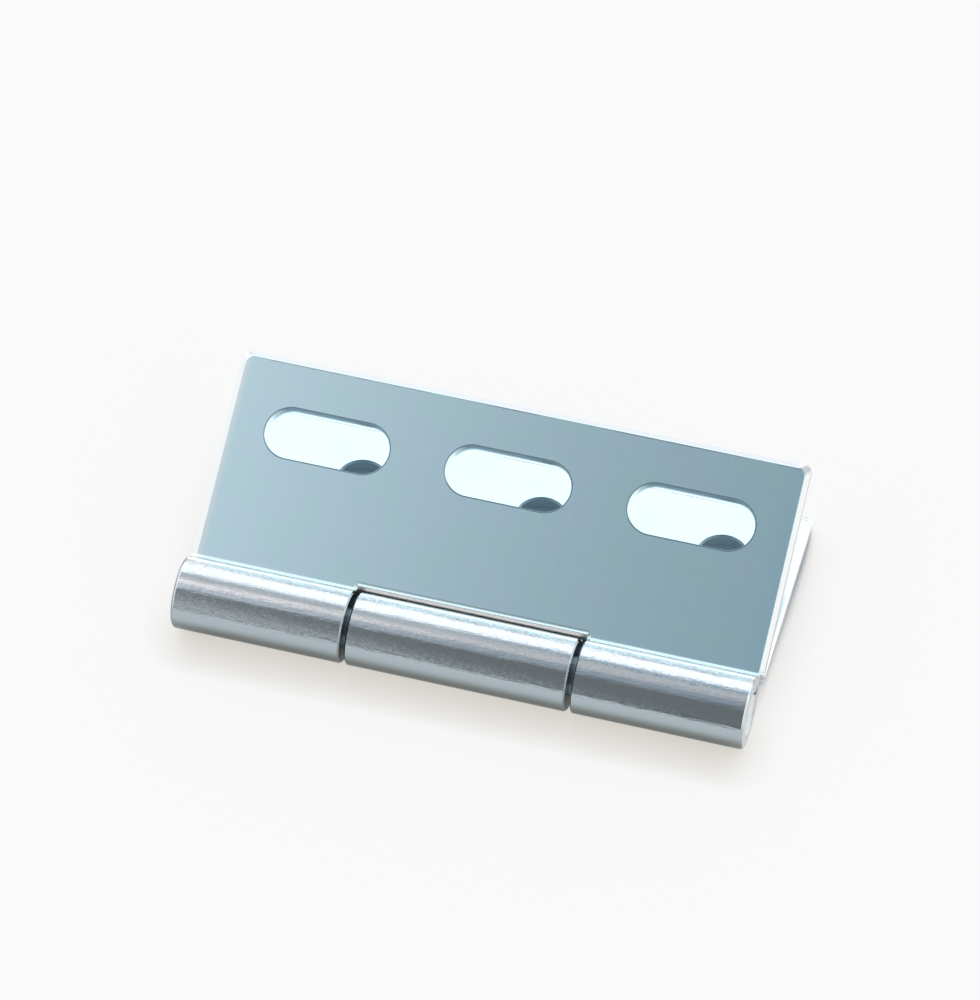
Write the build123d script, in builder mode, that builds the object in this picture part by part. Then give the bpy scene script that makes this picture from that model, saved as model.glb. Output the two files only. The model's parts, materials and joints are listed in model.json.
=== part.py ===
"""Butt hinge of plated sheet steel: a slotted leaf, a holed leaf and the pin they turn on."""
import math
import os

from build123d import *

# Leaf blanks
leaf_length = 75.0
leaf_reach = 32.61
sheet = 2.0
face_rise = 0.6
corner_radius = 0.8
face_corner_radius = 1.1
rolled_edge_width = 0.65
rolled_edge_depth = 0.3
broken_edge_width = 0.35
broken_edge_depth = 0.3
root_rolled_width = 0.4
root_broken_width = 0.65

# Barrel
pin_diameter = 5.28
running_clearance = 0.06
barrel_shortfall = 0.2
barrel_shift = -0.45
middle_knuckle = 28.8
knuckle_gap = 0.7
root_clearance = 0.32
crease_radius = 0.4
knuckle_end_round = 0.45
gap_edge_break = 0.2
curl_end_angle = -20.0

# Screw openings
opening_pitch = 24.0
slot_row = 22.96
slot_length = 16.4
slot_width = 6.6
slot_edge_break = 0.15
hole_row = 23.34
hole_diameter = 6.3
hole_shift = 3.6
hole_edge_break = 0.2

# Pin ends
pin_recess = 0.1
pin_grip = 0.01
grip_length = 2.5
pin_chamfer = 0.4

# Pose on the table
fold_angle = 28.5

# Sizes that follow from the ones above
pin_radius = pin_diameter / 2
bore_radius = pin_radius + running_clearance
barrel_radius = bore_radius + sheet
barrel_length = leaf_length - barrel_shortfall
outer_knuckle = (barrel_length - middle_knuckle - 2 * knuckle_gap) / 2
root_line = barrel_radius + root_clearance
opening_margin = rolled_edge_width + face_corner_radius
inner_face = face_rise - sheet
slot_centres = slot_length - slot_width

# The sheet turns up out of the leaf round this centre, seen along the pin
bend_y = math.sqrt((barrel_radius + crease_radius) ** 2 - (face_rise + crease_radius) ** 2)
bend_z = face_rise + crease_radius
curl_start_angle = math.degrees(math.atan2(bend_z, bend_y))
curl_sweep = 360.0 + curl_end_angle - curl_start_angle

# The hinge lies on its barrel and on the lower leaf's free edge
edge_y = leaf_reach - rolled_edge_width
lean = math.asin(barrel_radius / math.hypot(edge_y, face_rise)) - math.atan2(face_rise, edge_y)
rise = math.radians(fold_angle) - lean
far_y = leaf_reach * math.cos(lean) - (inner_face + broken_edge_depth) * math.sin(lean)
pin_y = (barrel_radius - far_y) / 2
pin_z = barrel_radius
hinge_x = (barrel_length / 2 - barrel_shift - leaf_length / 2) / 2

# Local Y runs from the pin to the free edge, local Z out of the face away from the fold
upper_plane = Plane(
    origin=(hinge_x, pin_y, pin_z),
    x_dir=(1, 0, 0),
    z_dir=(0, -math.sin(rise), math.cos(rise)),
)
lower_plane = Plane(
    origin=(hinge_x, pin_y, pin_z),
    x_dir=(-1, 0, 0),
    z_dir=(0, -math.sin(lean), -math.cos(lean)),
)


def across_pin(leaf, x):
    """Plane square to the pin at local x: its X is the leaf's Y, its Y the leaf's Z."""
    return Plane(
        origin=leaf.from_local_coords((x, 0, 0)),
        x_dir=leaf.y_dir,
        z_dir=leaf.x_dir,
    )


def curl_plane(leaf):
    """Plane through the pin in which the curl starts: X along the pin, Y outwards."""
    start = math.radians(curl_start_angle)
    outwards = leaf.y_dir * math.cos(start) + leaf.z_dir * math.sin(start)
    return Plane(origin=leaf.origin, x_dir=leaf.x_dir, z_dir=leaf.x_dir.cross(outwards))


def pin_axis(leaf):
    return Axis(leaf.origin, leaf.x_dir)


def blank_outline(notches, corner, inset=0.0, root_inset=0.0):
    """Sketch of a leaf's flat, notched at its root for the other leaf's knuckles and drawn in by the insets."""
    width = leaf_length - 2 * inset
    with Locations((0, bend_y)):
        Rectangle(width, leaf_reach - inset - bend_y, align=(Align.CENTER, Align.MIN))
    fillet(vertices().group_by(Axis.Y)[-1], corner)
    for start, stop in notches:
        with Locations(((start + stop) / 2, bend_y)):
            Rectangle(
                stop - start + 2 * root_inset,
                2 * (root_line + root_inset - bend_y),
                mode=Mode.SUBTRACT,
            )


def leaf_flat(leaf, notches):
    """Flat of a leaf: a rolled edge round the outer face, a sheared wall and a broken edge on the inner face."""
    wall_height = sheet - broken_edge_depth - rolled_edge_depth
    with BuildSketch(leaf.offset(inner_face)) as inner:
        blank_outline(notches, face_corner_radius, broken_edge_width, root_broken_width)
    with BuildSketch(leaf.offset(inner_face + broken_edge_depth)) as wall_foot:
        blank_outline(notches, corner_radius)
    with BuildSketch(leaf.offset(face_rise - rolled_edge_depth)) as wall_top:
        blank_outline(notches, corner_radius)
    with BuildSketch(leaf.offset(face_rise)) as outer:
        blank_outline(notches, face_corner_radius, rolled_edge_width, root_rolled_width)
    loft([inner.sketch.face(), wall_foot.sketch.face()], ruled=True)
    extrude(wall_foot.sketch.face(), amount=wall_height)
    loft([wall_top.sketch.face(), outer.sketch.face()], ruled=True)


def curl_section(start, stop, barrel_end=None):
    """Sketch of a knuckle's wall: the corner at a barrel end is rounded, one at a gap only broken."""
    with Locations(((start + stop) / 2, bore_radius + sheet / 2)):
        Rectangle(stop - start, sheet)
    for x, place in ((start, 0), (stop, -1)):
        corner = vertices().group_by(Axis.Y)[-1].sort_by(Axis.X)[place]
        if x == barrel_end:
            fillet(corner, knuckle_end_round)
        else:
            chamfer(corner, gap_edge_break)


def bend_outline():
    """Edges of the tight bend that carries the flat sheet up into the curl."""
    sweep = 90 - curl_start_angle
    with BuildLine() as outline:
        crease = CenterArc((bend_y, bend_z), crease_radius, 180 + curl_start_angle, sweep)
        back = CenterArc((bend_y, bend_z), crease_radius + sheet, 180 + curl_start_angle, sweep)
        Line(crease @ 0, back @ 0)
        Line(crease @ 1, back @ 1)
    return outline.edges()


def roll_knuckle(leaf, start, stop, barrel_end=None):
    """Curl round the pin and the bend that joins it to the flat, which is no wider than the flat."""
    with BuildSketch(curl_plane(leaf)) as wall:
        curl_section(start, stop, barrel_end)
    revolve(wall.sketch.face(), axis=pin_axis(leaf), revolution_arc=curl_sweep)
    bend_start = max(start, -leaf_length / 2)
    bend_stop = min(stop, leaf_length / 2)
    with BuildSketch(across_pin(leaf, bend_start)) as bend:
        make_face(bend_outline())
    extrude(bend.sketch.face(), amount=bend_stop - bend_start)


def face_edges(part, leaf, level):
    """Edges that lie in the leaf's face at the given local height."""
    found = []
    for edge in part.edges():
        heights = [leaf.to_local_coords(edge @ s).Z for s in (0.0, 0.37, 0.71)]
        if all(abs(h - level) < 1e-4 for h in heights):
            found.append(edge)
    return found


def punched_rims(part, leaf, level):
    """Rims of the punched openings in the face at the given height, without the leaf's outline."""
    found = []
    for edge in face_edges(part, leaf, level):
        middle = leaf.to_local_coords(edge @ 0.5)
        at_side = abs(middle.X) > leaf_length / 2 - opening_margin
        at_end = middle.Y > leaf_reach - opening_margin or middle.Y < root_line + opening_margin
        if not at_side and not at_end:
            found.append(edge)
    return found


# Slotted leaf with the two outer knuckles; the punch breaks the slots' edges on the outer face
left_end = barrel_shift - barrel_length / 2
right_end = barrel_shift + barrel_length / 2
upper_knuckles = [
    (left_end, left_end + outer_knuckle, left_end),
    (right_end - outer_knuckle, right_end, right_end),
]

with BuildPart() as upper_leaf:
    leaf_flat(upper_plane, [(left_end + outer_knuckle, right_end - outer_knuckle)])
    with BuildSketch(upper_plane.offset(inner_face)):
        with Locations((-opening_pitch, slot_row), (0, slot_row), (opening_pitch, slot_row)):
            SlotCenterToCenter(slot_centres, slot_width)
    extrude(amount=sheet, mode=Mode.SUBTRACT)
    chamfer(punched_rims(upper_leaf.part, upper_plane, face_rise), slot_edge_break)
    for start, stop, barrel_end in upper_knuckles:
        roll_knuckle(upper_plane, start, stop, barrel_end)
upper_leaf.part.label = "upper_leaf"

# Holed leaf with the middle knuckle; its local X runs against the pin's direction
middle_start = -barrel_shift - middle_knuckle / 2
middle_stop = -barrel_shift + middle_knuckle / 2

with BuildPart() as lower_leaf:
    leaf_flat(lower_plane, [(-leaf_length, middle_start), (middle_stop, leaf_length)])
    with BuildSketch(lower_plane.offset(inner_face)):
        with Locations(
            (-opening_pitch - hole_shift, hole_row),
            (-hole_shift, hole_row),
            (opening_pitch - hole_shift, hole_row),
        ):
            Circle(hole_diameter / 2)
    extrude(amount=sheet, mode=Mode.SUBTRACT)
    chamfer(punched_rims(lower_leaf.part, lower_plane, inner_face), hole_edge_break)
    roll_knuckle(lower_plane, middle_start, middle_stop)
lower_leaf.part.label = "lower_leaf"

# Pin: a plain rod whose upset ends the outer knuckles grip
pin_length = barrel_length - 2 * pin_recess
grip_radius = bore_radius + pin_grip
rod_half = pin_length / 2 - grip_length

with BuildPart() as pin:
    with BuildSketch(Plane(origin=(hinge_x + barrel_shift, pin_y, pin_z), x_dir=(1, 0, 0), z_dir=(0, -1, 0))):
        with BuildLine():
            Polyline(
                (-pin_length / 2, 0),
                (-pin_length / 2, grip_radius - pin_chamfer),
                (-pin_length / 2 + pin_chamfer, grip_radius),
                (-rod_half - pin_chamfer, grip_radius),
                (-rod_half, pin_radius),
                (rod_half, pin_radius),
                (rod_half + pin_chamfer, grip_radius),
                (pin_length / 2 - pin_chamfer, grip_radius),
                (pin_length / 2, grip_radius - pin_chamfer),
                (pin_length / 2, 0),
                close=True,
            )
        make_face()
    revolve(axis=Axis((0, pin_y, pin_z), (1, 0, 0)))
pin.part.label = "pin"

os.makedirs("parts", exist_ok=True)
export_step(upper_leaf.part, "parts/upper_leaf.step")
export_step(lower_leaf.part, "parts/lower_leaf.step")
export_step(pin.part, "parts/pin.step")
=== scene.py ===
"""Butt hinge of zinc-plated sheet steel: the plating of its leaves and pin, and the stage it lies on."""
import json
import math
from typing import NamedTuple

import bpy
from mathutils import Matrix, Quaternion, Vector


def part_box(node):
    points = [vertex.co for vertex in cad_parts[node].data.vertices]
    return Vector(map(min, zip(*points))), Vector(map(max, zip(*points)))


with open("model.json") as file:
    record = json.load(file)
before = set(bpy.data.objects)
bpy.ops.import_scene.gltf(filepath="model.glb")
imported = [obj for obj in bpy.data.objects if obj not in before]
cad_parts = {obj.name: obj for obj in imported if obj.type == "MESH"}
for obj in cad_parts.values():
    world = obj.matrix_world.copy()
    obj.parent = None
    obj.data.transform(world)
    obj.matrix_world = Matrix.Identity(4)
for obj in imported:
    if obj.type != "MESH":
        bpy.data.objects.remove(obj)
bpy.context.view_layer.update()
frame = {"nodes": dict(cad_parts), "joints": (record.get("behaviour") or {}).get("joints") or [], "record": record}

bl_info = {
    "name": "Slotted butt hinge",
    "version": (1, 0, 0),
    "blender": (4, 5, 0),
    "location": "3D View > Sidebar > Hinge",
    "description": "Plates the leaves and the pin of a butt hinge and lights them in a small tent",
    "category": "Object",
}

PIN_POINT = Vector(frame["joints"][0]["pos_m"])
BARREL_RADIUS = PIN_POINT.z
MOUNTS = {mount["name"]: mount for mount in frame["record"]["mounts"]}
UPPER_FACE = Vector(MOUNTS["upper_back"]["axis"])
LOWER_FACE = Vector(MOUNTS["lower_back"]["axis"])
UPPER_TURN = math.atan2(-UPPER_FACE.y, UPPER_FACE.z)
LOWER_TURN = math.atan2(LOWER_FACE.y, -LOWER_FACE.z)
MILLIMETRE = 0.001


def in_leaf(mount, turn):
    """Where a mount lies from the pin: along it, out towards the leaf's free edge and up from the leaf."""
    return Quaternion((1.0, 0.0, 0.0), -turn) @ (Vector(MOUNTS[mount]["pos_m"]) - PIN_POINT)


SLOT = in_leaf("slot_middle", UPPER_TURN)
HOLE = in_leaf("hole_middle", LOWER_TURN)
PITCH = in_leaf("slot_right", UPPER_TURN).x - SLOT.x
SLOT_RADIUS = MOUNTS["slot_middle"]["dims"]["hole_r_mm"] * MILLIMETRE
SLOT_HALF = MOUNTS["slot_middle"]["dims"]["slot_length_mm"] * MILLIMETRE / 2 - SLOT_RADIUS
HOLE_RADIUS = MOUNTS["hole_middle"]["dims"]["r_mm"] * MILLIMETRE
UPPER_TOP = in_leaf("upper_back", UPPER_TURN).z
SHEET = 2 * (UPPER_TOP - SLOT.z)
LOWER_FOOT = in_leaf("lower_back", LOWER_TURN).z
LEAF_LEFT, LEAF_RIGHT = (corner[0] - PIN_POINT.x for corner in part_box("lower_leaf"))

# Places on a leaf that the frame doesn't give, from the pin's middle: the free edge, the bend at the root,
# the edge over the other leaf's knuckle and half its length, the ends, and the bore's share of the barrel
LEAF_REACH = 0.03261
ROOT = 0.005
NOTCH = 0.00538
NOTCH_HALF = 0.0151
KNUCKLE_END = (0.0362, 0.0367)
PIN_END = (0.0366, 0.0368)
BORE_SHARE = 0.58

# A point this near to a face counts as on it
FACE_SKIN = 0.00003

# Side of the barrel that takes the painted highlight, and bands across it: 1 in the crease, 0 in the middle, -1
# below
HIGHLIGHT_SIDE = math.radians(34.0)
HIGHLIGHT_BAND = (0.91, 0.95)
CREASE_BAND = (0.82, 0.91)
BLUE_BAND = (0.47, 0.63)
LOWER_BAND = (0.30, 0.46)
UNDER_BAND = (0.66, 0.94)
RAGGEDNESS = 0.5

# Tones of the barrel, as factors on its colour: random scuffs, then painted bands: a blue painted reflection,
# painted shade on the lower side and the underside, a painted shade line below the highlight, and painted shade on
# the edges by the gaps and on the rounding of the left end
SCUFFED = (0.93, 0.93, 0.94)
BLUE_REFLECTION = (0.58, 0.68, 0.77)
LOWER_SIDE_SHADE = (0.70, 0.76, 0.77)
UNDERSIDE_SHADE = (0.37, 0.39, 0.35)
CREASE_SHADE = (0.63, 0.58, 0.56)
GAP_EDGE_SHADE = (0.55, 0.54, 0.52)
LEFT_ROUND_SHADE = (0.45, 0.50, 0.53)

# Tones of the flats, as factors on their colour, and of the edges, as factors on theirs; the tone above the notch
# and the brink tone are painted shade lines
DARK_CLOUD = (0.97, 1.01, 0.97)
PALE_CLOUD = (1.01, 0.99, 1.02)
NOTCH_SHADE = (0.62, 0.56, 0.50)
SLOTTED_RIGHT = (0.93, 0.99, 0.98)
HOLED_RIGHT = (1.08, 0.965, 0.955)
BRINK_SHADE = (0.38, 0.34, 0.31)
INNER_FACE = (0.92, 0.97, 1.0)
FREE_EDGE = (0.77, 0.78, 0.80)
LEFT_EDGE = (0.92, 0.96, 0.98)

# Fineness of the patterns, in waves or cells to the metre, their squeeze along the pin, and their depth
STREAK_SCALE = 2600.0
SCUFF_SCALE = 6500.0
CLOUD_SCALE = 150.0
GRAIN_SCALE = 2600.0
SPECK_CELLS = 450.0
DRAWN_SCALE = 3000.0
DENT_SCALE = 900.0
FIBRE_SCALE = 900.0
STREAK_SQUEEZE = 0.13
SCUFF_SQUEEZE = 0.25
DRAWN_SQUEEZE = 0.08
GRAIN_DEPTH = 0.0000008
DENT_DEPTH = 0.00001

# Where the parts of the tent meet, as parts of a direction of length 1
ROOF_LEFT = (0.12, 0.34)
ROOF_REAR = (0.08, 0.20)
ROOF_SEAM = (-0.11, 0.20)
OPEN_FRONT = (0.29, 0.45)
WALLS = (0.53, 0.65)
BACK_WALL = (0.1, 0.4)
SKIRT_END = -0.157
SKIRT_SLANT = 9.0

# Way to the light whose cover shades the floor, deeper shade beneath the leaves as factors on that shade,
# and how much of the floor's shown white the metal mirrors
FROM_BEHIND = (0.0, 0.7, 0.71)
DEEP_SHADE = (0.13, 0.23, 0.34)
GLOSSY_SHARE = 0.22


class Opening(NamedTuple):
    """The middle one of a leaf's screw openings."""

    centre: Vector
    half_run: float
    radius: float
    torn_depth: float


SLOTS = Opening(SLOT, SLOT_HALF, SLOT_RADIUS, 0.0012)
# The holes' walls count as torn through the whole sheet, so their dark torn tone is also painted shade inside the
# holes
HOLES = Opening(HOLE, 0.0, HOLE_RADIUS, SHEET)


class Signal:
    """One output of a shader node; arithmetic on it adds Math nodes."""

    def __init__(self, shop, output):
        self.shop = shop
        self.output = output

    def part(self, name):
        """Another output of the same node."""
        return Signal(self.shop, self.output.node.outputs[name])

    def maths(self, operation, *operands):
        return self.shop.add("ShaderNodeMath", "Value", {"operation": operation}, dict(enumerate(operands)))

    def __add__(self, other):
        return self.maths("ADD", self, other)

    __radd__ = __add__

    def __sub__(self, other):
        return self.maths("SUBTRACT", self, other)

    def __rsub__(self, other):
        return self.maths("SUBTRACT", other, self)

    def __neg__(self):
        return self.maths("SUBTRACT", 0.0, self)

    def __mul__(self, other):
        return self.maths("MULTIPLY", self, other)

    __rmul__ = __mul__

    def __pow__(self, other):
        return self.maths("POWER", self, other)

    def __abs__(self):
        return self.maths("ABSOLUTE", self)

    def most(self, other):
        return self.maths("MAXIMUM", self, other)

    def wrapped(self, half):
        """Brought into the span from -half to half by whole spans."""
        return self.maths("WRAP", self, half, -half)

    def step(self, low, high):
        """0 below low, 1 above high and a soft rise between them."""
        return self.shop.add(
            "ShaderNodeMapRange",
            "Result",
            {"interpolation_type": "SMOOTHSTEP"},
            {"Value": self, "From Min": low, "From Max": high},
        )

    def span(self, low, high, soft):
        """1 between low and high, 0 outside, with soft ends."""
        return self.step(low, low + soft) * (-self).step(-high, -high + soft)


class NodeShop:
    """Adds nodes to one material or world and links them."""

    def __init__(self, tree):
        self.tree = tree
        tree.nodes.clear()

    def add(self, kind, output, settings=None, sockets=None):
        """A node of that kind with its settings and socket values or links; returns the named output."""
        node = self.tree.nodes.new(kind)
        for name, value in (settings or {}).items():
            setattr(node, name, value)
        for name, value in (sockets or {}).items():
            socket = node.inputs[name]
            if isinstance(value, Signal):
                self.tree.links.new(value.output, socket)
            elif socket.type == "RGBA":
                socket.default_value = (*value, 1.0)
            else:
                socket.default_value = value
        return None if output is None else Signal(self, node.outputs[output])

    def mix(self, amount, first, second):
        """Colour that goes from first to second as amount goes from 0 to 1."""
        return self.add("ShaderNodeMix", 2, {"data_type": "RGBA"}, {0: amount, 6: first, 7: second})

    def noise(self, place, scale, detail=2.0, roughness=0.5):
        return self.add(
            "ShaderNodeTexNoise",
            "Fac",
            {"noise_dimensions": "3D"},
            {"Vector": place, "Scale": scale, "Detail": detail, "Roughness": roughness},
        )

    def split(self, vector):
        """The vector's X, Y and Z."""
        x = self.add("ShaderNodeSeparateXYZ", "X", None, {"Vector": vector})
        return x, x.part("Y"), x.part("Z")

    def join(self, x, y, z):
        return self.add("ShaderNodeCombineXYZ", "Vector", None, {"X": x, "Y": y, "Z": z})

    def bump(self, height, depth, normal=None):
        sockets = {"Height": height, "Distance": depth, "Strength": 1.0}
        if normal:
            sockets["Normal"] = normal
        return self.add("ShaderNodeBump", "Normal", None, sockets)

    def metal(self, colour, haze, normal):
        """Bare plated metal on the material's output."""
        sockets = {"Base Color": colour, "Metallic": 1.0, "Roughness": haze, "Normal": normal}
        shader = self.add("ShaderNodeBsdfPrincipled", "BSDF", None, sockets)
        self.add("ShaderNodeOutputMaterial", None, None, {"Surface": shader})


class PlatingSettings(bpy.types.PropertyGroup):
    """Finish of the metal."""

    face_colour: bpy.props.FloatVectorProperty(
        name="Leaf colour", description="Blue-white zinc on the flats of the leaves",
        subtype="COLOR", size=3, min=0.0, max=1.0, default=(0.715, 0.91, 0.98),
    )
    barrel_colour: bpy.props.FloatVectorProperty(
        name="Barrel colour", description="Zinc on the rolled knuckles",
        subtype="COLOR", size=3, min=0.0, max=1.0, default=(0.78, 0.82, 0.85),
    )
    edge_colour: bpy.props.FloatVectorProperty(
        name="Edge colour", description="Bright zinc on the rolled edges and the barrel's end faces",
        subtype="COLOR", size=3, min=0.0, max=1.0, default=(0.97, 0.98, 0.975),
    )
    # The torn walls are duller zinc, and this dark tone also serves as painted shade inside the holes, whose walls
    # count as torn all through
    punched_colour: bpy.props.FloatVectorProperty(
        name="Punched colour", description="Thin dull zinc on the torn walls of the slots and holes",
        subtype="COLOR", size=3, min=0.0, max=1.0, default=(0.40, 0.55, 0.64),
    )
    # Painted highlight along the top of the barrel beside the crease
    painted_highlight_colour: bpy.props.FloatVectorProperty(
        name="Rubbed colour", description="Burnished zinc in the crease and along the top of the barrel",
        subtype="COLOR", size=3, min=0.0, max=1.0, default=(1.0, 0.97, 0.95),
    )
    # Painted shade in the gaps between the knuckles and along the rims of the openings
    gap_shade_colour: bpy.props.FloatVectorProperty(
        name="Gap colour", description="Oily dirt between the knuckles and along the rims of the openings",
        subtype="COLOR", size=3, min=0.0, max=1.0, default=(0.17, 0.26, 0.29),
    )
    # The pin's dark tone is painted shade where it shows in the gaps between the knuckles
    pin_colour: bpy.props.FloatVectorProperty(
        name="Pin colour", description="Oily zinc on the pin",
        subtype="COLOR", size=3, min=0.0, max=1.0, default=(0.285, 0.365, 0.39),
    )
    face_haze: bpy.props.FloatProperty(
        name="Leaf haze", description="Roughness of the plated flats",
        subtype="FACTOR", min=0.02, max=1.0, default=0.18,
    )
    barrel_haze: bpy.props.FloatProperty(
        name="Barrel haze", description="Roughness of the rolled knuckles",
        subtype="FACTOR", min=0.02, max=1.0, default=0.08,
    )
    punched_haze: bpy.props.FloatProperty(
        name="Punched haze", description="Roughness of the torn walls of the slots and holes",
        subtype="FACTOR", min=0.02, max=1.0, default=0.45,
    )
    speck_width: bpy.props.FloatProperty(
        name="Speck width", description="Width of the pale specks in the plating",
        unit="LENGTH", min=0.0, default=0.00022,
    )
    rim_width: bpy.props.FloatProperty(
        name="Rim width", description="Width of the dull rim round the slots and holes",
        unit="LENGTH", min=0.0, default=0.00022,
    )
    root_ease: bpy.props.FloatProperty(
        name="Root ease", description="Width over which a leaf's flat eases up into its crease",
        unit="LENGTH", min=0.0, default=0.00025,
    )
    roll_mark_depth: bpy.props.FloatProperty(
        name="Roll mark depth", description="Depth of the lengthwise marks of rolling on the knuckles",
        unit="LENGTH", min=0.0, default=0.000022,
    )


class StageSettings(bpy.types.PropertyGroup):
    """Camera, floor and tent of light."""

    aim: bpy.props.FloatVectorProperty(
        name="Aim", description="Point the camera looks at",
        subtype="XYZ", unit="LENGTH", size=3, default=(-0.00084, 0.00239, 0.01541),
    )
    distance: bpy.props.FloatProperty(
        name="Distance", description="From the aim to the camera",
        unit="LENGTH", min=0.1, default=0.6959,
    )
    azimuth: bpy.props.FloatProperty(
        name="Azimuth", description="How far the camera stands round to the right of the barrel's front",
        subtype="ANGLE", default=math.radians(17.28),
    )
    elevation: bpy.props.FloatProperty(
        name="Elevation", description="Height of the camera above the floor",
        subtype="ANGLE", default=math.radians(56.07),
    )
    roll: bpy.props.FloatProperty(
        name="Roll", description="Lean of the camera to the right",
        subtype="ANGLE", default=math.radians(2.66),
    )
    lens: bpy.props.FloatProperty(
        name="Lens", description="Focal length on a 36 mm sensor",
        unit="CAMERA", min=10.0, default=198.0,
    )
    back_light: bpy.props.FloatVectorProperty(
        name="Back light", description="Light of the white wall behind the hinge",
        subtype="COLOR", size=3, min=0.0, max=4.0, default=(1.29, 1.34, 1.39),
    )
    side_light: bpy.props.FloatVectorProperty(
        name="Side light", description="Light of the white walls beside the hinge",
        subtype="COLOR", size=3, min=0.0, max=4.0, default=(0.98, 0.98, 0.98),
    )
    roof_light: bpy.props.FloatVectorProperty(
        name="Roof light", description="Light of the tent's roof over the barrel",
        subtype="COLOR", size=3, min=0.0, max=2.0, default=(0.254, 0.319, 0.367),
    )
    roof_left_light: bpy.props.FloatVectorProperty(
        name="Roof light, left", description="Light of the roof's left side",
        subtype="COLOR", size=3, min=0.0, max=2.0, default=(1.09, 1.10, 1.15),
    )
    roof_rear_light: bpy.props.FloatVectorProperty(
        name="Roof light, rear", description="Light of the roof behind the hinge's middle",
        subtype="COLOR", size=3, min=0.0, max=2.0, default=(0.54, 0.57, 0.585),
    )
    seam_light: bpy.props.FloatVectorProperty(
        name="Roof seam light", description="Warm light added along the seam across the roof",
        subtype="COLOR", size=3, min=0.0, max=2.0, default=(0.54, 0.42, 0.355),
    )
    front_light: bpy.props.FloatVectorProperty(
        name="Front light", description="Light from the open front of the tent",
        subtype="COLOR", size=3, min=0.0, max=2.0, default=(0.165, 0.182, 0.19),
    )
    skirt_light: bpy.props.FloatVectorProperty(
        name="Skirt light", description="Light of the low skirt at the left of the open front",
        subtype="COLOR", size=3, min=0.0, max=2.0, default=(0.49, 0.51, 0.52),
    )
    floor_colour: bpy.props.FloatVectorProperty(
        name="Floor colour", description="Matt white floor",
        subtype="COLOR", size=3, min=0.0, max=1.0, default=(0.86, 0.85, 0.85),
    )
    floor_glow: bpy.props.FloatVectorProperty(
        name="Floor white", description="White that the floor shows to the camera besides its shaded colour",
        subtype="COLOR", size=3, min=0.0, max=1.0, default=(0.995, 0.995, 0.995),
    )
    floor_share: bpy.props.FloatProperty(
        name="Floor white share", description="How much of that white the floor shows",
        subtype="FACTOR", min=0.0, max=1.0, default=0.85,
    )
    shade_colour: bpy.props.FloatVectorProperty(
        name="Floor shade", description="Shade of the floor where the hinge covers the light from behind",
        subtype="COLOR", size=3, min=0.0, max=1.0, default=(0.70, 0.665, 0.60),
    )
    shade_reach: bpy.props.FloatProperty(
        name="Shade reach", description="How far from the hinge that shade goes",
        unit="LENGTH", min=0.0, default=0.0056,
    )
    floor_width: bpy.props.FloatProperty(
        name="Floor width", description="Side of the square floor",
        unit="LENGTH", min=0.1, default=3.0,
    )


def new_material(name):
    material = bpy.data.materials.new(name)
    material.use_nodes = True
    return material


def give_finish(node, material):
    """The node's first slot takes the finish."""
    frame["nodes"][node].material_slots[0].material = material


def scaled(colour, *factors):
    return [channel * factor for channel, factor in zip(colour, factors)]


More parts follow.
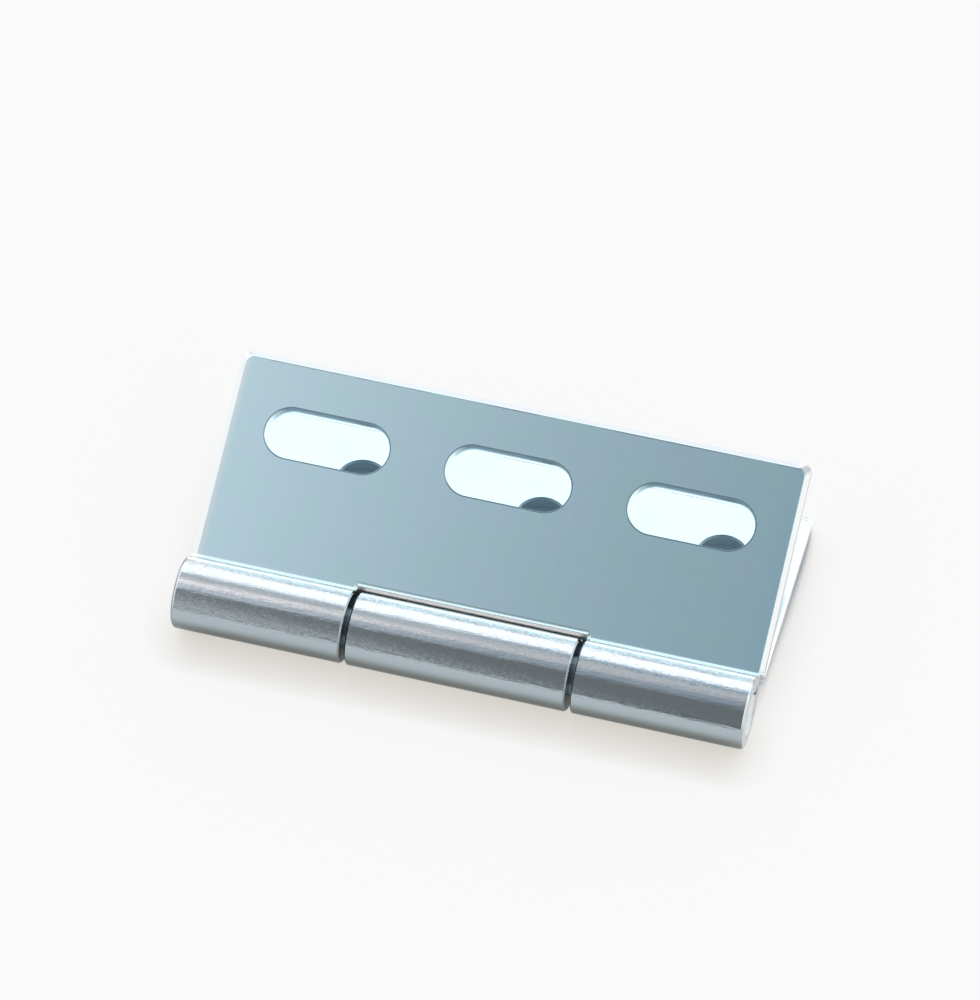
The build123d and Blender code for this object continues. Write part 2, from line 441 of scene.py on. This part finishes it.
class LeafPlating:
    """Zinc plate on a leaf that slopes by turn, with its inner face at foot.

    A point lies along the pin, at a reach from it towards the free edge and at a rise through the sheet.
    The flats are bluish and faintly specked, with a painted highlight towards the left edge, the knuckles carry
    roll marks and painted bands of highlight, reflection and shade, the rolled edges are bright, and the walls of
    the openings are bright where the punch sheared them and dull where they tore, with painted shade lines round
    the openings, in the knuckle gaps, above the notch and beside the free edge.
    """

    def __init__(self, name, turn, foot, opening, plating):
        self.material = new_material(name)
        self.shop = NodeShop(self.material.node_tree)
        self.turn = turn
        self.slotted = opening is SLOTS
        self.plating = plating
        place = self.shop.add("ShaderNodeTexCoord", "Object")
        self.leaf = self.shop.add(
            "ShaderNodeMapping",
            "Vector",
            {"vector_type": "TEXTURE"},
            {"Vector": place, "Location": PIN_POINT, "Rotation": (turn, 0.0, 0.0)},
        )
        self.along, self.reach, self.rise = self.shop.split(self.leaf)
        self.facing_right = self.shop.split(place.part("Normal"))[0]
        self.under_top = foot + SHEET - self.rise
        self.add_patterns()
        self.find_barrel()
        self.find_opening(foot, opening)
        self.find_edges()

    def drawn_out(self, squeeze):
        """Places on the leaf for a pattern that is drawn out along the pin."""
        return self.shop.join(self.along * squeeze, self.reach, self.rise)

    def add_patterns(self):
        """Roll marks, clouds, grain and the few pale specks."""
        shop = self.shop
        self.streaks = shop.noise(self.drawn_out(STREAK_SQUEEZE), STREAK_SCALE, 2.0, 0.55)
        self.scuffs = shop.noise(self.drawn_out(SCUFF_SQUEEZE), SCUFF_SCALE, 3.0, 0.65)
        self.clouds = shop.noise(self.leaf, CLOUD_SCALE, 3.0).step(0.3, 0.7)
        self.grain = shop.noise(self.leaf, GRAIN_SCALE, 3.0, 0.6)
        cell = shop.add(
            "ShaderNodeTexVoronoi",
            "Distance",
            {"voronoi_dimensions": "2D"},
            {"Vector": self.leaf, "Scale": SPECK_CELLS},
        )
        lot = shop.add("ShaderNodeSeparateColor", "Red", None, {"Color": cell.part("Color")})
        width = self.plating.speck_width * SPECK_CELLS
        self.speck = (1.0 - cell.step(width * 0.3, width)) * lot.step(0.75, 0.95)

    def find_barrel(self):
        """Masks of the knuckles, their ends and gaps, and the height across the barrel."""
        from_pin = (self.reach ** 2.0 + self.rise ** 2.0) ** 0.5
        self.flat = from_pin.step(BARREL_RADIUS * 1.01, BARREL_RADIUS * 1.05)
        self.curl = 1.0 - self.flat
        facing_along = abs(self.facing_right)
        end_face = self.curl * facing_along.step(0.85, 0.93)
        at_end = abs(self.along).step(*KNUCKLE_END)
        self.knuckle_end = end_face * at_end
        self.gap_wall = end_face * (1.0 - at_end)
        self.gap_edge = self.curl * facing_along.span(0.45, 0.85, 0.1) * (1.0 - at_end)
        self.left_round = self.curl * at_end * (-self.facing_right).span(0.35, 0.95, 0.12)
        bore = 1.0 - from_pin.step(BARREL_RADIUS * BORE_SHARE, BARREL_RADIUS * (BORE_SHARE + 0.02))
        self.bore_mouth = bore * at_end
        across = HIGHLIGHT_SIDE - self.turn
        height = self.reach * math.cos(across) + self.rise * math.sin(across)
        self.crest = height * (1.0 / BARREL_RADIUS)
        self.over_middle = 1.0 - abs(self.along).step(NOTCH_HALF - 0.00002, NOTCH_HALF + 0.00002)

    def find_opening(self, foot, opening):
        """Masks of the walls of the slots or holes, of what tore there and of the painted shade line round them.
        """
        rim = self.plating.rim_width
        self.between_faces = self.rise.span(foot + FACE_SKIN, foot + SHEET - FACE_SKIN, 0.00002) * self.flat
        run = abs((self.along - opening.centre.x).wrapped(PITCH / 2)) - opening.half_run
        from_rim = (run.most(0.0) ** 2.0 + (self.reach - opening.centre.y) ** 2.0) ** 0.5 - opening.radius
        self.punched = self.between_faces * (1.0 - from_rim.step(rim, rim + 0.00004))
        sheared = self.under_top.step(opening.torn_depth, opening.torn_depth + 0.0003)
        if self.slotted:
            sheared = sheared.most(self.facing_right.step(0.3, 0.8))
        self.torn = self.punched * (1.0 - sheared)
        near_top = 1.0 - self.under_top.step(0.00012, 0.00016)
        self.rim_shade_line = from_rim.span(0.00005, rim, 0.00003) * near_top * self.flat

    def find_edges(self):
        """Masks of the rolled edges and of the line where the outer face breaks off to its free edge."""
        short_of_right = 1.0 - self.along.step(LEAF_RIGHT - 0.002, LEAF_RIGHT - 0.001)
        on_top = 1.0 - self.under_top.step(0.00003, 0.0001)
        self.edge = self.between_faces * (1.0 - self.punched)
        self.root_edge = self.edge * (1.0 - self.reach.step(NOTCH, NOTCH + 0.0001))
        self.free_edge = self.reach.step(LEAF_REACH - 0.00075, LEAF_REACH - 0.0006) * short_of_right
        self.left_edge = (-self.along).step(-LEAF_LEFT - 0.0008, -LEAF_LEFT - 0.0005)
        self.brink = self.reach.span(LEAF_REACH - 0.00084, LEAF_REACH - 0.00064, 0.00005) * on_top

    def face_colour(self):
        """Cloudy blue-white flats with a painted highlight towards the left edge, tinted at the right, with
        painted shade lines and a few specks.
        """
        mix = self.shop.mix
        zinc = self.plating.face_colour
        bright = self.plating.edge_colour
        at_right = self.along.step(LEAF_RIGHT - 0.0035, LEAF_RIGHT - 0.001)
        # Painted highlight on the flat towards the left edge
        left_edge_highlight = (-self.along).step(-LEAF_LEFT - 0.0017, -LEAF_LEFT - 0.0004)
        face = mix(self.clouds, scaled(zinc, *DARK_CLOUD), scaled(zinc, *PALE_CLOUD))
        face = mix(at_right, face, scaled(zinc, *(SLOTTED_RIGHT if self.slotted else HOLED_RIGHT)))
        face = mix(left_edge_highlight * 0.85, face, bright)
        if self.slotted:
            # Painted shade line on the flat just above the notch, over the middle knuckle
            notch_shade_line = self.over_middle * self.reach.span(NOTCH + 0.0003, NOTCH + 0.0006, 0.00012)
            face = mix(notch_shade_line * 0.6, face, scaled(zinc, *NOTCH_SHADE))
        # Painted shade as a broken dark line where the outer face breaks off to the free edge
        face = mix(self.brink * self.clouds * 0.8, face, scaled(bright, *BRINK_SHADE))
        if self.slotted:
            inner = self.under_top.step(SHEET - 2 * FACE_SKIN, SHEET - FACE_SKIN)
            face = mix(inner, face, scaled(bright, *INNER_FACE))
        return mix(self.speck * 0.4, face, bright)

    def barrel_colour(self):
        """Scuffed knuckles with painted light: a painted highlight along the top by the crease, ragged painted
        reflection and shade bands across, and painted shade on the underside.
        """
        mix = self.shop.mix
        zinc = self.plating.barrel_colour
        bright = self.plating.edge_colour
        ragged = self.crest + (self.scuffs - 0.5) * RAGGEDNESS
        # Painted reflection and shade bands across the barrel, darker towards the underside
        blue = ragged.span(*BLUE_BAND, 0.04) * (0.4 + self.along.step(-0.005, 0.02) * 0.45)
        barrel = mix(self.scuffs.step(0.3, 0.7), scaled(zinc, *SCUFFED), zinc)
        barrel = mix(blue, barrel, scaled(zinc, *BLUE_REFLECTION))
        barrel = mix((-ragged).step(*LOWER_BAND), barrel, scaled(zinc, *LOWER_SIDE_SHADE))
        barrel = mix((-self.crest).step(*UNDER_BAND), barrel, scaled(zinc, *UNDERSIDE_SHADE))
        barrel = mix(ragged.span(*CREASE_BAND, 0.03), barrel, scaled(zinc, *CREASE_SHADE))
        # Painted highlight along the top of the barrel beside the crease
        barrel = mix(self.crest.step(*HIGHLIGHT_BAND), barrel, self.plating.painted_highlight_colour)
        # Painted shade on the edges beside the gaps between the knuckles
        barrel = mix(self.gap_edge * 0.8, barrel, scaled(zinc, *GAP_EDGE_SHADE))
        barrel = mix(self.knuckle_end, barrel, bright)
        # Painted shade on the rounding at the left end of the barrel
        barrel = mix(self.left_round, barrel, scaled(zinc, *LEFT_ROUND_SHADE))
        # Painted shade on the walls of the gaps between the knuckles
        barrel = mix(self.gap_wall, barrel, self.plating.gap_shade_colour)
        return mix(self.bore_mouth, barrel, bright)

    def colour(self):
        """Knuckles, flats and edges together, with the walls of the openings and a painted shade line round their
        rims.
        """
        mix = self.shop.mix
        bright = self.plating.edge_colour
        trim = mix(self.free_edge, bright, scaled(bright, *FREE_EDGE))
        trim = mix(self.left_edge, trim, scaled(bright, *LEFT_EDGE))
        colour = mix(self.flat, self.barrel_colour(), mix(self.edge, self.face_colour(), trim))
        colour = mix(self.punched, colour, bright)
        colour = mix(self.torn, colour, self.plating.punched_colour)
        # Painted shade line round the rims of the slots and holes
        return mix(self.rim_shade_line * 0.85, colour, self.plating.gap_shade_colour)

    def haze(self):
        """Roughness: least on the knuckles, more on the flats and most in torn walls and bore mouths."""
        plating = self.plating
        haze = plating.barrel_haze + self.flat * (plating.face_haze - plating.barrel_haze)
        haze = haze + (self.grain - 0.5) * 0.06
        haze = haze + self.knuckle_end * 0.2 + self.bore_mouth * 0.5
        haze = haze + self.edge * 0.08 + self.root_edge * 0.3
        return haze + self.torn * (plating.punched_haze - plating.face_haze)

    def surface(self):
        """Roll marks on the knuckles, eased bends where they meet the flat, and fine grain on the flats."""
        shop = self.shop
        ease_width = self.plating.root_ease
        rolled = shop.bump((self.streaks + self.scuffs * 0.5) * self.curl, self.plating.roll_mark_depth)
        bend = (1.0 - self.reach.step(ROOT - ease_width, ROOT + ease_width * 0.6)) * 0.55
        if self.slotted:
            notch = (1.0 - self.reach.step(NOTCH - 0.0001, NOTCH + ease_width * 1.3)) * 0.6
            bend = bend + (notch - bend) * self.over_middle
        eased = shop.bump(bend + self.crest.step(0.92, 1.0), ease_width, rolled)
        return shop.bump(self.grain * self.flat, GRAIN_DEPTH, eased)

    def finish(self):
        self.shop.metal(self.colour(), self.haze(), self.surface())
        return self.material


def plated_rod(name, plating):
    """Drawn rod under zinc: fine lengthwise lines, dark all along as painted shade where it shows in the gaps
    between the knuckles, and bright at the upset ends.
    """
    material = new_material(name)
    shop = NodeShop(material.node_tree)
    place = shop.add("ShaderNodeTexCoord", "Object")
    along, across, up = shop.split(place)
    drawn = shop.noise(shop.join(along * DRAWN_SQUEEZE, across, up), DRAWN_SCALE, 3.0, 0.6)
    dents = shop.noise(place, DENT_SCALE, 2.0)
    # Dark tone as painted shade for the gaps between the knuckles
    colour = shop.mix(dents, scaled(plating.pin_colour, 0.8, 0.8, 0.8), plating.pin_colour)
    end = abs(along - PIN_POINT.x).step(*PIN_END)
    colour = shop.mix(end, colour, plating.edge_colour)
    worn = shop.bump(drawn + dents, DENT_DEPTH)
    shop.metal(colour, 0.3 + drawn * 0.14 + end * 0.35, worn)
    return material


def tent_world(stage):
    """White walls behind and beside, a grey roof that is brighter on the left, and a dim open front."""
    world = bpy.data.worlds.new("light_tent")
    world.use_nodes = True
    shop = NodeShop(world.node_tree)
    x, y, z = shop.split(shop.add("ShaderNodeTexCoord", "Generated"))
    left = (-x).step(*ROOF_LEFT)
    roof = shop.mix(left, stage.roof_light, stage.roof_left_light)
    roof = shop.mix(y.step(*ROOF_REAR), roof, stage.roof_rear_light)
    seam = y.span(*ROOF_SEAM, 0.08) * (0.27 + left * 1.65)
    roof = shop.add(
        "ShaderNodeMix",
        2,
        {"data_type": "RGBA", "blend_type": "ADD", "clamp_result": False},
        {0: seam, 6: roof, 7: stage.seam_light},
    )
    open_front = (-y).step(*OPEN_FRONT)
    low_left = 1.0 - (z + (x - SKIRT_END) * SKIRT_SLANT).step(0.0, 0.06)
    front = shop.mix(low_left, stage.front_light, stage.skirt_light)
    tent = shop.mix(open_front, roof, front)
    wall = (((x * 1.25) ** 2.0 + y.most(0.0) ** 2.0) ** 0.5).step(*WALLS)
    tent = shop.mix(wall, tent, shop.mix(y.step(*BACK_WALL), stage.side_light, stage.back_light))
    background = shop.add("ShaderNodeBackground", "Background", None, {"Color": tent})
    shop.add("ShaderNodeOutputWorld", None, None, {"Surface": background})
    return world


def matt_floor(stage):
    """Matt white paper that keeps the hinge's cast shadow; part of its white is shown as it is, with a painted
    shadow round the hinge from ambient occlusion, darker beneath the leaves.
    """
    material = new_material("floor_paper")
    shop = NodeShop(material.node_tree)
    place = shop.add("ShaderNodeTexCoord", "Object")
    fibres = shop.noise(place, FIBRE_SCALE, 4.0)
    colour = shop.mix(fibres, scaled(stage.floor_colour, 0.99, 0.99, 0.99), stage.floor_colour)
    paper = shop.add("ShaderNodeBsdfDiffuse", "BSDF", None, {"Color": colour})
    from_behind = shop.join(*FROM_BEHIND)
    sockets = {"Distance": stage.shade_reach, "Normal": from_behind}
    covered = 1.0 - shop.add("ShaderNodeAmbientOcclusion", "AO", {"samples": 16}, sockets)
    glow = shop.mix(covered, stage.floor_glow, stage.shade_colour)
    beneath = shop.split(place)[1].step(PIN_POINT.y, PIN_POINT.y + 0.002) * covered.step(0.3, 0.5)
    glow = shop.mix(beneath, glow, scaled(stage.shade_colour, *DEEP_SHADE))
    white = shop.add("ShaderNodeEmission", "Emission", None, {"Color": glow, "Strength": 1.0})
    ray = shop.add("ShaderNodeLightPath", "Is Camera Ray")
    seen = ray + ray.part("Is Transmission Ray") + ray.part("Is Glossy Ray") * GLOSSY_SHARE
    shares = {0: seen * stage.floor_share, 1: paper, 2: white}
    shader = shop.add("ShaderNodeMixShader", "Shader", None, shares)
    shop.add("ShaderNodeOutputMaterial", None, None, {"Surface": shader})
    return material


class HINGE_OT_plate_slotted_leaf(bpy.types.Operator):
    """Plate the upper leaf, with its slots and outer knuckles"""

    bl_idname = "hinge.plate_slotted_leaf"
    bl_label = "Plate slotted leaf"

    def execute(self, context):
        plating = context.scene.hinge_plating
        zinc = LeafPlating("zinc_slotted_leaf", UPPER_TURN, UPPER_TOP - SHEET, SLOTS, plating)
        give_finish("upper_leaf", zinc.finish())
        return {"FINISHED"}


class HINGE_OT_plate_holed_leaf(bpy.types.Operator):
    """Plate the lower leaf, with its holes and middle knuckle"""

    bl_idname = "hinge.plate_holed_leaf"
    bl_label = "Plate holed leaf"

    def execute(self, context):
        plating = context.scene.hinge_plating
        zinc = LeafPlating("zinc_holed_leaf", LOWER_TURN, LOWER_FOOT, HOLES, plating)
        give_finish("lower_leaf", zinc.finish())
        return {"FINISHED"}


class HINGE_OT_plate_pin(bpy.types.Operator):
    """Plate the pin"""

    bl_idname = "hinge.plate_pin"
    bl_label = "Plate pin"

    def execute(self, context):
        give_finish("pin", plated_rod("zinc_pin", context.scene.hinge_plating))
        return {"FINISHED"}


class HINGE_OT_set_stage(bpy.types.Operator):
    """Lay the floor, raise the light tent and place the camera"""

    bl_idname = "hinge.set_stage"
    bl_label = "Set stage"

    def execute(self, context):
        scene = context.scene
        stage = scene.hinge_stage
        scene.world = tent_world(stage)
        scene.view_settings.view_transform = "Standard"

        bpy.ops.object.select_all(action="DESELECT")
        bpy.ops.mesh.primitive_plane_add(size=stage.floor_width)
        floor = context.object
        floor.name = "floor"
        floor.data.materials.append(matt_floor(stage))

        aim = Vector(stage.aim)
        back = Vector((
            math.sin(stage.azimuth) * math.cos(stage.elevation),
            -math.cos(stage.azimuth) * math.cos(stage.elevation),
            math.sin(stage.elevation),
        ))
        bpy.ops.object.camera_add(location=aim + back * stage.distance)
        camera = context.object
        camera.rotation_mode = "QUATERNION"
        level = (-back).to_track_quat("-Z", "Y")
        camera.rotation_quaternion = level @ Quaternion((0.0, 0.0, 1.0), -stage.roll)
        camera.data.lens = stage.lens
        camera.data.sensor_width = 36.0
        camera.data.clip_start = 0.01
        scene.camera = camera
        return {"FINISHED"}


class HINGE_PT_panel(bpy.types.Panel):
    """Steps that finish the hinge, in order"""

    bl_label = "Slotted butt hinge"
    bl_idname = "HINGE_PT_panel"
    bl_space_type = "VIEW_3D"
    bl_region_type = "UI"
    bl_category = "Hinge"

    def draw(self, context):
        for step in STEPS:
            self.layout.operator(step.bl_idname)
        for settings in (context.scene.hinge_plating, context.scene.hinge_stage):
            column = self.layout.column()
            for name in settings.__annotations__:
                column.prop(settings, name)


STEPS = (
    HINGE_OT_plate_slotted_leaf,
    HINGE_OT_plate_holed_leaf,
    HINGE_OT_plate_pin,
    HINGE_OT_set_stage,
)
CLASSES = (PlatingSettings, StageSettings, *STEPS, HINGE_PT_panel)


def register():
    for cls in CLASSES:
        bpy.utils.register_class(cls)
    bpy.types.Scene.hinge_plating = bpy.props.PointerProperty(type=PlatingSettings)
    bpy.types.Scene.hinge_stage = bpy.props.PointerProperty(type=StageSettings)


def unregister():
    del bpy.types.Scene.hinge_stage
    del bpy.types.Scene.hinge_plating
    for cls in reversed(CLASSES):
        bpy.utils.unregister_class(cls)


def main():
    register()
    bpy.ops.hinge.plate_slotted_leaf()
    bpy.ops.hinge.plate_holed_leaf()
    bpy.ops.hinge.plate_pin()
    bpy.ops.hinge.set_stage()


if __name__ == "__main__":
    main()
